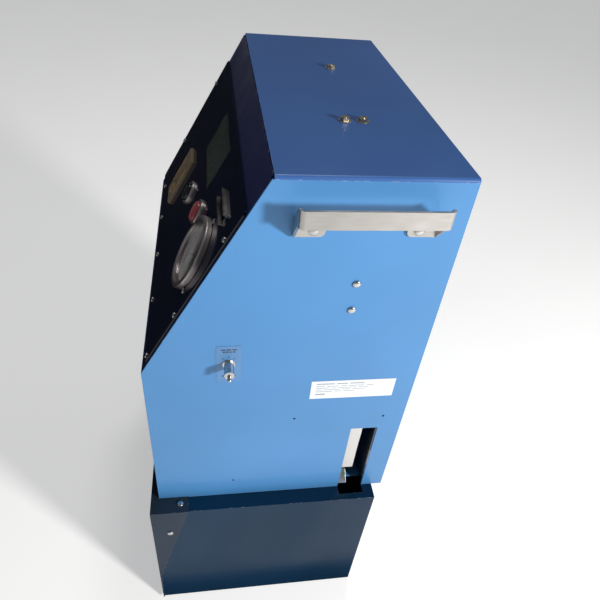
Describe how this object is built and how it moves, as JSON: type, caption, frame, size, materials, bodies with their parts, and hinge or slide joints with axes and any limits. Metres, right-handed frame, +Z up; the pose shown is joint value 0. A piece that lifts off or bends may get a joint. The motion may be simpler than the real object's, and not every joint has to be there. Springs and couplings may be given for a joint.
{
  "type": "ticket vending machine",
  "caption": "Sheet-steel ticket vending machine with a sloped glossy front, carrying handles, side ticket outlet and a wider plinth.",
  "frame": {"origin": "middle of the outline at the feet's underside, on the floor", "axes": "+Z up, -Y towards the customer, +X towards the side with the ticket outlet"},
  "size_m": [0.544, 0.374, 0.8452],
  "materials": {
    "blue_paint": "satin blue enamel",
    "navy_paint": "satin navy enamel",
    "plinth_paint": "glossy dark blue-grey enamel",
    "frame_paint": "primer",
    "drawer_paint": "grey powder coat",
    "rubber": "matte",
    "overlay_gloss": "high gloss",
    "stainless": "brushed",
    "plated": "polished",
    "galvanised": "galvanised",
    "label": "printed film",
    "switch_plate": "printed film",
    "paper": "thermal paper",
    "clear": "clear",
    "smoked": "smoked",
    "black_plastic": "moulded",
    "button_black": "moulded gloss",
    "button_red": "moulded translucent",
    "beige_plastic": "moulded",
    "dial_plastic": "printed",
    "dial_metal": "satin",
    "board": "solder mask",
    "gear_plastic": "moulded",
    "brass": "machined",
    "motor_steel": "blackened"
  },
  "bodies": {
    "cabinet": {"plinth_shell": "plinth_paint", "plinth_cover": "plinth_paint", "base_frame": "frame_paint", "foot_front_left": "rubber", "foot_front_right": "rubber", "foot_rear_left": "rubber", "foot_rear_right": "rubber", "floor_plate": "blue_paint", "right_side": "blue_paint", "left_side": "blue_paint", "top_panel": "blue_paint", "front_panel": "navy_paint", "fascia": "navy_paint", "overlay": "overlay_gloss", "rear_frame": "blue_paint", "right_handle": "stainless", "left_handle": "stainless", "handle_screws": "stainless", "side_screws": "stainless", "top_bolts": "stainless", "fascia_screws": "plated", "info_label": "label", "toggle_body": "black_plastic", "toggle_nut": "plated", "toggle_plate": "switch_plate", "dial_case": "dial_plastic", "dial_bezel": "dial_metal", "dial_glass": "clear", "display_window": "smoked", "display_module": "board", "note_bezel": "beige_plastic", "note_unit": "black_plastic", "button_bezels": "plated", "button_switches": "black_plastic", "coin_bezel": "stainless", "coin_unit": "black_plastic", "coin_chute": "galvanised", "ticket_strip": "paper", "ticket_guide": "galvanised", "printer_bracket": "galvanised", "printer_motor": "motor_steel", "roll_spindle": "galvanised", "power_supply": "galvanised", "controller_board": "board", "cable_gland": "black_plastic", "drawer_runners": "galvanised", "fixed_hinges": "galvanised", "hinge_pins": "stainless"},
    "door": {"rear_door": "blue_paint", "door_hinges": "galvanised"},
    "lock": {"door_lock": "plated"},
    "drawer": {"cash_drawer": "drawer_paint"},
    "lever": {"toggle_lever": "plated"},
    "pointer": {"dial_pointer": "button_black"},
    "start": {"start_button": "button_black"},
    "stop": {"stop_button": "button_red"},
    "platen": {"platen_roller": "rubber", "drive_gear": "gear_plastic"},
    "pinion": {"motor_pinion": "brass"},
    "roll": {"paper_roll": "paper"}
  },
  "joints": [
    {"name": "rear_door_swing", "type": "hinge", "parent": "cabinet", "child": "door", "pos_m": [-0.204, 0.1788, 0.565], "axis": [0, 0, 1], "range_deg": [0, 110]},
    {"name": "door_lock_turn", "type": "hinge", "parent": "door", "child": "lock", "pos_m": [0.179, 0.175, 0.565], "axis": [0, 1, 0], "range_deg": [0, 90]},
    {"name": "cash_drawer_slide", "type": "slide", "parent": "cabinet", "child": "drawer", "axis": [0, 1, 0], "range_m": [0, 0.19]},
    {"name": "toggle_throw", "type": "hinge", "parent": "cabinet", "child": "lever", "pos_m": [0.244, -0.071, 0.59], "axis": [0, -1, 0], "range_deg": [0, 24]},
    {"name": "dial_pointer_sweep", "type": "hinge", "parent": "cabinet", "child": "pointer", "pos_m": [0.169, -0.10672, 0.70137], "axis": [0, 0.8749, -0.4842], "range_deg": [0, 256], "stiffness_Nm_per_rad": 0.0002},
    {"name": "start_button_press", "type": "slide", "parent": "cabinet", "child": "start", "axis": [0, 0.8749, -0.4842], "range_m": [0, 0.004], "stiffness_N_per_m": 400, "springref_m": -0.001},
    {"name": "stop_button_press", "type": "slide", "parent": "cabinet", "child": "stop", "axis": [0, 0.8749, -0.4842], "range_m": [0, 0.004], "stiffness_N_per_m": 400, "springref_m": -0.001},
    {"name": "roll_spin", "type": "hinge", "parent": "cabinet", "child": "roll", "pos_m": [0.1697, 0.1135, 0.62], "axis": [0, 1, 0], "continuous": true},
    {"name": "platen_spin", "type": "hinge", "parent": "cabinet", "child": "platen", "pos_m": [0.2157, 0.1135, 0.52], "axis": [0, 1, 0], "continuous": true},
    {"name": "pinion_spin", "type": "hinge", "parent": "cabinet", "child": "pinion", "pos_m": [0.19033, 0.0925, 0.51077], "axis": [0, 1, 0], "continuous": true}
  ],
  "couplings": [
    {"joint": "platen_spin", "follows": "roll_spin", "ratio": 6.1111},
    {"joint": "pinion_spin", "follows": "roll_spin", "ratio": -7.6389}
  ]
}
